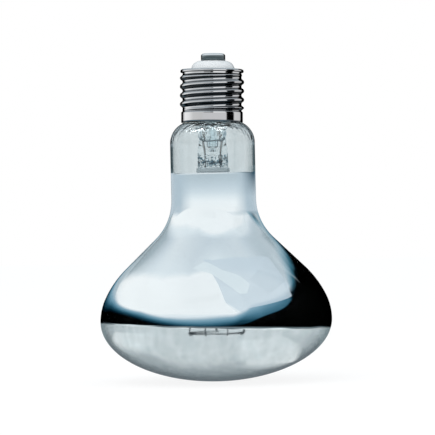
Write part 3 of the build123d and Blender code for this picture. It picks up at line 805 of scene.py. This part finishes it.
# Turns, each with the fade's own height in millimetres
EDGE_WIDTHS = [
    (-180, 30), (-150, 36), (-120, 30), (-90, 34), (-75, 40), (-45, 42), (-30, 48), (-15, 54), (0, 60),
    (15, 61), (30, 52), (45, 42), (60, 58), (75, 64), (90, 40), (105, 20), (120, 16), (150, 18), (180, 30),
]
WIDEST = 100
RING_TONES = [
    (0.0, (0.0, 0.0, 0.0)), (0.14, (0.0, 0.008, 0.016)), (0.33, (0.012, 0.062, 0.1)),
    (0.5, (0.07, 0.19, 0.27)), (0.67, (0.2, 0.36, 0.46)), (0.85, (0.4, 0.52, 0.6)),
    (1.0, (0.53, 0.63, 0.71)),
]
FOOT_TONE = (0.18, 0.23, 0.25)
EDGE_TONE = (0.14, 0.22, 0.26)
WINDOW_TONE = (0.24, 0.3, 0.32)
CLEAR_EDGE_TONES = [(0.0, (0.13, 0.18, 0.2)), (1.0, (0.08, 0.12, 0.135))]
NECK_TONES = [
    (0.0, (0.99, 0.99, 0.99)), (0.2, (0.95, 0.965, 0.975)), (0.33, (0.84, 0.885, 0.91)),
    (0.46, (0.71, 0.775, 0.82)), (0.63, (0.61, 0.685, 0.74)), (0.8, (0.54, 0.615, 0.665)),
    (1.0, (0.5, 0.575, 0.62)),
]
NECK_SIDE_TONE = (0.5, 0.585, 0.65)
NECK_CORNER_TONE = (0.02, 0.07, 0.11)
# White studio with black flags that bare metal shows, as turn and brightness
FLAGS = [
    (-180, 0.0), (-156, 0.0), (-150, 0.5), (-135, 0.92), (-105, 0.85), (-75, 0.62), (-20, 0.58),
    (-14, 0.25), (14, 0.2), (16, 0.0), (25, 0.0), (28, 0.92), (70, 0.92), (74, 0.0), (94, 0.0),
    (97, 0.66), (118, 0.62), (122, 0.0), (180, 0.0),
]
PLAIN_WALL_TONE = (0.6, 0.605, 0.62)
# Heights in metres at which a ray leaves the mirrored neck, the clear neck and the end contact
MIRRORED_NECK = ((0.0678, 0.0700), (0.0858, 0.0866))
CLEAR_NECK = ((0.0855, 0.0859), (0.0960, 0.1010))
CONTACT_FROM = 0.130
# The window's edge on the left and on the right, in metres
WINDOW_EDGES = (0.0250, 0.0214)
# Heights on the ring in metres: its lit foot, its faded top, the limit of the skirt's plain wall, and the
# foot of the flags
LIT_FOOT = (0.006, 0.012)
FADED_TOP = (0.070, 0.079)
SKIRT_LIMIT = (0.1275, 0.1285)
FLAGS_FROM = 0.09
# How far forward a ray goes when it only grazed the glass
GRAZING = (0.15, 0.4)


def turned(angle):
    """An angle from -180 to 180 degrees as a share of the full turn."""
    return (angle + 180) / 360


PANEL_TURNS = ((turned(36.0), turned(57.6)), (turned(84.6), turned(88.2)))
SKIRT_TURNS = ((turned(-25.2), turned(-21.6)), (turned(70.56), turned(72.0)))
CONTACT_TURNS = ((turned(-25.2), turned(-21.6)), (turned(97.2), turned(104.4)))


def within(graph, value, limits):
    """1 between two soft limits, each given as where it starts and ends, and 0 outside them."""
    return graph.times(graph.rise(value, *limits[0]), graph.drop(value, *limits[1]))


def fade_share(graph, turn, height):
    """0 on the ring's black foot, growing to 1 where it has faded out, sooner on a panel at the right."""
    edge = graph.curve(turn, [(turned(a), (h - RING_LOW) / RING_SPAN) for a, h in EDGE_HEIGHTS])
    width = graph.curve(turn, [(turned(a), w / WIDEST) for a, w in EDGE_WIDTHS])
    above = graph.maths("SUBTRACT", graph.rise(height, RING_LOW * MM, RING_HIGH * MM), edge)
    share = graph.maths("DIVIDE", above, graph.times(width, WIDEST / RING_SPAN), clamp=True)
    panel = graph.times(graph.remap(above, -0.004, 0.006, 0.0, 0.4), within(graph, turn, PANEL_TURNS))
    lifted = graph.maths("ADD", panel, graph.times(share, 0.6))
    return graph.maths("MAXIMUM", share, lifted, clamp=True)


def neck_wall(graph, ray):
    """What the mirrored neck shows: white at its foot, blue-grey above, with a dark corner on the right."""
    tone = graph.ramp(graph.rise(ray.origin, 0.0706, 0.0855), NECK_TONES)
    side = graph.tint(graph.rise(ray.ahead, -0.45, 0.3), tone, NECK_SIDE_TONE)
    corner = graph.times(
        graph.rise(ray.ahead, -0.1, 0.8),
        graph.rise(ray.origin, 0.0755, 0.0855),
        graph.drop(ray.back[0], -0.25, -0.05),
    )
    return graph.tint(corner, side, NECK_CORNER_TONE)


def flag_wall(graph, ray, turn):
    """The studio that bare metal shows, with a plain wall for the skirt and the end contact."""
    flags = graph.ramp(turn, [(turned(a), (v, v * 1.005, v * 1.01)) for a, v in FLAGS])
    for_skirt = graph.times(graph.drop(ray.height, *SKIRT_LIMIT), within(graph, turn, SKIRT_TURNS))
    from_contact = graph.maths("GREATER_THAN", ray.origin, CONTACT_FROM)
    for_contact = graph.times(from_contact, within(graph, turn, CONTACT_TURNS))
    return graph.tint(graph.maths("MAXIMUM", for_skirt, for_contact), flags, PLAIN_WALL_TONE)


def surround_material():
    """The ring's look: dark wall for the mirror and the glass, and flags for bare metal."""
    material, graph = new_material("dark_surround")
    ray = read_ray(graph)
    x, y, _ = graph.split(graph.add("TexCoord").outputs["Object"])
    angle = graph.maths("ARCTAN2", x, graph.times(y, -1.0))
    turn = graph.rise(angle, -pi, pi)
    share = fade_share(graph, turn, ray.height)
    at_neck = within(graph, ray.origin, MIRRORED_NECK)
    grazing = graph.times(graph.rise(ray.ahead, *GRAZING), ray.reflected)
    at_clear = graph.times(grazing, within(graph, ray.origin, CLEAR_NECK))
    window_edge = graph.remap(turn, turned(-90), turned(90), *WINDOW_EDGES)
    at_window = graph.times(grazing, graph.maths("LESS_THAN", ray.origin, window_edge))

    faded = graph.maths("MAXIMUM", graph.rise(share, 0.75, 1.0), graph.rise(ray.height, *FADED_TOP))
    faded = graph.times(faded, graph.rest_of(at_neck), graph.rest_of(at_clear))
    gone = graph.maths("MAXIMUM", faded, white_mask(graph, ray.path, ray.ahead))

    tone = graph.tint(graph.drop(ray.height, *LIT_FOOT), graph.ramp(share, RING_TONES), FOOT_TONE)
    tone = graph.tint(at_neck, tone, neck_wall(graph, ray))
    tone = graph.tint(at_window, tone, WINDOW_TONE)
    tone = graph.tint(at_clear, tone, graph.ramp(graph.rise(ray.back[0], -0.2, 0.2), CLEAR_EDGE_TONES))
    tone = graph.tint(graph.rest_of(ray.reflected), tone, EDGE_TONE)
    wall = graph.mix(gone, graph.glow(tone), graph.clear())

    bare = graph.maths("LESS_THAN", ray.path["Transmission Depth"], 0.5)
    on_metal = graph.times(bare, graph.maths("GREATER_THAN", ray.height, FLAGS_FROM))
    graph.show(graph.mix(on_metal, wall, graph.glow(flag_wall(graph, ray, turn))))
    return material


surround = lathe("dark_surround", [(SURROUND_R, RING_LOW), (SURROUND_R, RING_HIGH)], 128, closed=False)
surround.location = (SURROUND_CENTRE[0] * MM, SURROUND_CENTRE[1] * MM, 0)
surround.data.materials.append(surround_material())
stage_only(surround)


# Pale sheets of the light tent that overlap in the mirror, right of its middle
def tent_sheet(name, z, outline, share, colour):
    """A level sheet that the mirror shows with a share of its tone, from its outline of x and y."""
    count = len(outline)
    middle = tuple(sum(place[k] for place in outline) / count for k in range(2))
    faces = [[i, (i + 1) % count, count] for i in range(count)]
    piece = make_mesh(name, [(x, y, z) for x, y in (*outline, middle)], faces)
    stage_only(piece)
    piece.visible_glossy = False
    material, graph = new_material(name)
    ray = read_ray(graph)
    graph.show(graph.mix(graph.times(ray.reflected, share), graph.clear(), graph.glow(colour)))
    piece.data.materials.append(material)


tent_sheet("tent_right", 66, [
    (-7, -31), (-1, -32), (6, -31), (12, -29), (19, -26), (25, -21), (32, -14), (38, -14), (50, -18),
    (69, -23), (92, -26), (92, -101), (60, -140), (11, -78), (2, -50), (-3, -37),
], 0.8, (0.62, 0.7, 0.77))
tent_sheet("tent_blade", 64, [
    (-13, -33), (-6, -32), (4, -36), (16, -39), (25, -44), (27, -56), (20, -58), (7, -48), (-3, -39),
], 0.85, (0.8, 0.86, 0.89))
tent_sheet("tent_wedge", 62, [
    (2, -48), (21, -57), (38, -85), (85, -128), (50, -140), (11, -77),
], 0.4, (0.75, 0.82, 0.87))
tent_sheet("tent_streak", 70, [
    (35, -6), (40, -8), (55, -3), (74, 9), (52, 1), (39, -2),
], 0.22, (0.75, 0.83, 0.88))


def soft_sheet(name, z, loops, tones, strength=1.0, slopes=(-2.0, -1.0), origins=None):
    """A level sheet whose loops of x, y and cover are joined row to row.

    Its tones, with their opacity, go by the cover. Rays that rise less than slopes pass through it, and so
    do those that don't leave the outer glass between origins, two heights in millimetres.
    """
    count = len(loops[0])
    faces = []
    for row in range(len(loops) - 1):
        for a in range(row * count, (row + 1) * count - 1):
            faces.append([a, a + 1, a + 1 + count, a + count])
    piece = make_mesh(name, [(x, y, z) for loop in loops for x, y, _ in loop], faces)
    covers = [cover for loop in loops for _, _, cover in loop]
    piece.data.attributes.new("cover", "FLOAT", "POINT").data.foreach_set("value", covers)
    stage_only(piece)
    material, graph = new_material(name)
    cover = graph.add("Attribute")
    cover.attribute_name = "cover"
    tone = graph.ramp(cover.outputs["Fac"], tones)
    ray = read_ray(graph)
    rise = graph.times(ray.back[2], -1.0)
    shown = graph.times(ray.reflected, tone.node.outputs["Alpha"], graph.rise(rise, *slopes))
    if origins:
        low, high = in_metres(origins)
        shown = graph.times(
            shown,
            graph.maths("GREATER_THAN", ray.origin, low),
            graph.maths("LESS_THAN", ray.origin, high),
            graph.maths("LESS_THAN", ray.path["Transmission Depth"], 2.5),
        )
    graph.show(graph.mix(shown, graph.clear(), graph.glow(tone, strength)))
    piece.data.materials.append(material)
    return piece


# White tent over the lamp, open above it and behind
TENT_TONES = [
    (0.0, (0.78, 0.85, 0.89, 0.0)), (0.5, (0.84, 0.89, 0.92, 0.7)), (0.8, (0.93, 0.94, 0.95, 1.0)),
    (1.0, (1.0, 1.0, 1.0, 1.0)),
]
tent_top = soft_sheet("tent_top", 112, [
    [(-114, 190, 0), (-94, 130, 0), (-76, 60, 0), (-42, -6, 0), (-26, -25, 0), (0, -22, 0), (26, -20, 0),
     (42, -4, 0), (58, 8, 0)],
    [(-150, 200, 0.8), (-132, 130, 1), (-110, 60, 1), (-74, -24, 1), (-36, -44, 0.9), (0, -37, 0.9),
     (34, -39, 0.9), (72, -22, 0.85), (112, -14, 0.8)],
    [(-250, 170, 0.5), (-260, 70, 1), (-260, 0, 1), (-230, -140, 0.95), (-110, -250, 0.86),
     (0, -270, 0.85), (100, -260, 0.85), (230, -190, 0.85), (280, -70, 0.8)],
    [(-420, 170, 0), (-420, 70, 0), (-420, -60, 0), (-360, -280, 0), (-160, -420, 0), (0, -440, 0),
     (160, -420, 0), (360, -280, 0), (460, -90, 0)],
], TENT_TONES)
tent_top.visible_glossy = False

# Black flag on the right and behind, which only rays that rise steeply enough meet
FLAG_TONES = [
    (0.0, (0.4, 0.52, 0.6, 0.0)), (0.3, (0.23, 0.38, 0.46, 0.75)), (0.62, (0.05, 0.16, 0.22, 1.0)),
    (1.0, (0.0, 0.0, 0.0, 1.0)),
]
FLAG_SLOPES = (0.2, 0.3)
soft_sheet("flag_right", 88, [
    [(62, 200, 0), (60, 100, 0), (54, 60, 0), (52, 30, 0), (56, 12, 0), (70, -4, 0), (92, -16, 0),
     (120, -24, 0)],
    [(72, 200, 1), (70, 100, 1), (72, 60, 1), (76, 34, 1), (88, 18, 1), (104, 2, 1), (116, -6, 1),
     (150, -10, 1)],
    [(300, y, 1) for y in (300, 200, 150, 100, 80, 60, 40, 20)],
], FLAG_TONES, slopes=FLAG_SLOPES)

# Small lamps that sparkle in the worked glass at the neck
SPARK_TONES = [(0.0, (0.9, 0.95, 1.0, 1.0)), (1.0, (0.95, 0.98, 1.0, 1.0))]
SPARK_Z = 600
SPARK_HALF = 75
SPARK_STRENGTH = 16.0
WORKED_GLASS = (96.5, 108.0)
for name, x, y in (("spark_far_left", -460, -90), ("spark_left", -280, -180), ("spark_right", 110, -170)):
    turns = ((-1, -1), (1, -1), (1, 1), (-1, 1), (-1, -1))
    rim = [(x + SPARK_HALF * a, y + SPARK_HALF * b, 1) for a, b in turns]
    soft_sheet(name, SPARK_Z, [rim, [(x, y, 1)] * len(rim)], SPARK_TONES, SPARK_STRENGTH,
               origins=WORKED_GLASS)

# Pale cards on the floor that the window shows, each as a soft rim round a full core
CARD_TONES = [(0.0, (0.9, 0.96, 0.97, 0.0)), (1.0, (0.96, 1.0, 1.0, 1.0))]
CARD_Z = 0.4
for name, strength, middle, rim, core in (
    ("card_left", 1.3, (-72, -12),
     [(-125, 32), (-74, -62), (-32, -37), (-42, -4), (-66, 30)],
     [(-108, 22), (-76, -42), (-46, -32), (-52, -12), (-68, 14)]),
    ("card_right", 1.3, (32, -34),
     [(11, -60), (54, -47), (50, -16), (37, 8), (22, -12), (10, -24), (9, -48)],
     [(19, -54), (49, -41), (44, -20), (34, 0), (27, -18), (15, -28), (15, -46)]),
    ("card_middle", 0.6, (-14, -36),
     [(-40, -24), (-38, -48), (10, -50), (9, -30), (-16, -22)],
     [(-34, -28), (-32, -44), (5, -46), (5, -33), (-16, -27)]),
):
    loops = [[(x, y, 0) for x, y in (*rim, rim[0])], [(x, y, 1) for x, y in (*core, core[0])]]
    loops.append([(*middle, 1)] * (len(rim) + 1))
    soft_sheet(name, CARD_Z, loops, CARD_TONES, strength)

# Floor: white to the camera with a faint shadow, dark in the mirror
FLOOR_SIDE = 3000.0
FLOOR_DROP = 0.0002
FLOOR_TONE = (0.8, 0.81, 0.82)
MIRRORED_FLOOR_TONE = (0.17, 0.2, 0.22)
SEEN_GLOW = (0.88, 0.88, 0.88)
SEEN_SHADE = (0.16, 0.16, 0.16)


def floor_material():
    """Pale floor: as bright as the backdrop to the camera, dim to the mirror, plain to the light."""
    material, graph = new_material("floor")
    ray = read_ray(graph)
    lit = graph.add("BsdfPrincipled", Roughness=0.7, Base_Color=FLOOR_TONE).outputs[0]
    unseen = graph.mix(ray.reflected, lit, graph.glow(MIRRORED_FLOOR_TONE))
    shaded = graph.add("BsdfDiffuse", Color=SEEN_SHADE).outputs[0]
    white = graph.fill(graph.add("AddShader"), graph.glow(SEEN_GLOW), shaded)
    graph.show(graph.mix(white_mask(graph, ray.path, ray.ahead), unseen, white))
    return material


corners = [(-FLOOR_SIDE, -FLOOR_SIDE, 0), (FLOOR_SIDE, -FLOOR_SIDE, 0)]
corners += [(FLOOR_SIDE, FLOOR_SIDE, 0), (-FLOOR_SIDE, FLOOR_SIDE, 0)]
floor = make_mesh("floor", corners, [[0, 1, 2, 3]])
floor.location.z = -FLOOR_DROP
floor.data.materials.append(floor_material())

# Camera, at the photograph's place: level with the middle of the lamp and a little rolled
PIXEL = 0.0004105
FRAME = 435 * PIXEL
DISTANCE = 1.1
CAMERA_Z = 0.0671
OFFSET_X = 0.00141
ROLL = radians(-1.24)
SENSOR = 36.0
camera_data = bpy.data.cameras.new("camera")
camera = bpy.data.objects.new("camera", camera_data)
bpy.context.collection.objects.link(camera)
bpy.context.scene.camera = camera
camera_data.sensor_width = SENSOR
camera_data.lens = SENSOR * DISTANCE / FRAME
camera_data.clip_start = 0.05
camera.matrix_world = (
    Matrix.Translation((OFFSET_X, -DISTANCE, CAMERA_Z))
    @ Matrix.Rotation(radians(90), 4, "X")
    @ Matrix.Rotation(ROLL, 4, "Z")
)

scene = bpy.context.scene
scene.view_settings.view_transform = "Standard"
scene.cycles.max_bounces = 24
scene.cycles.transmission_bounces = 20
scene.cycles.glossy_bounces = 10
scene.cycles.transparent_max_bounces = 16
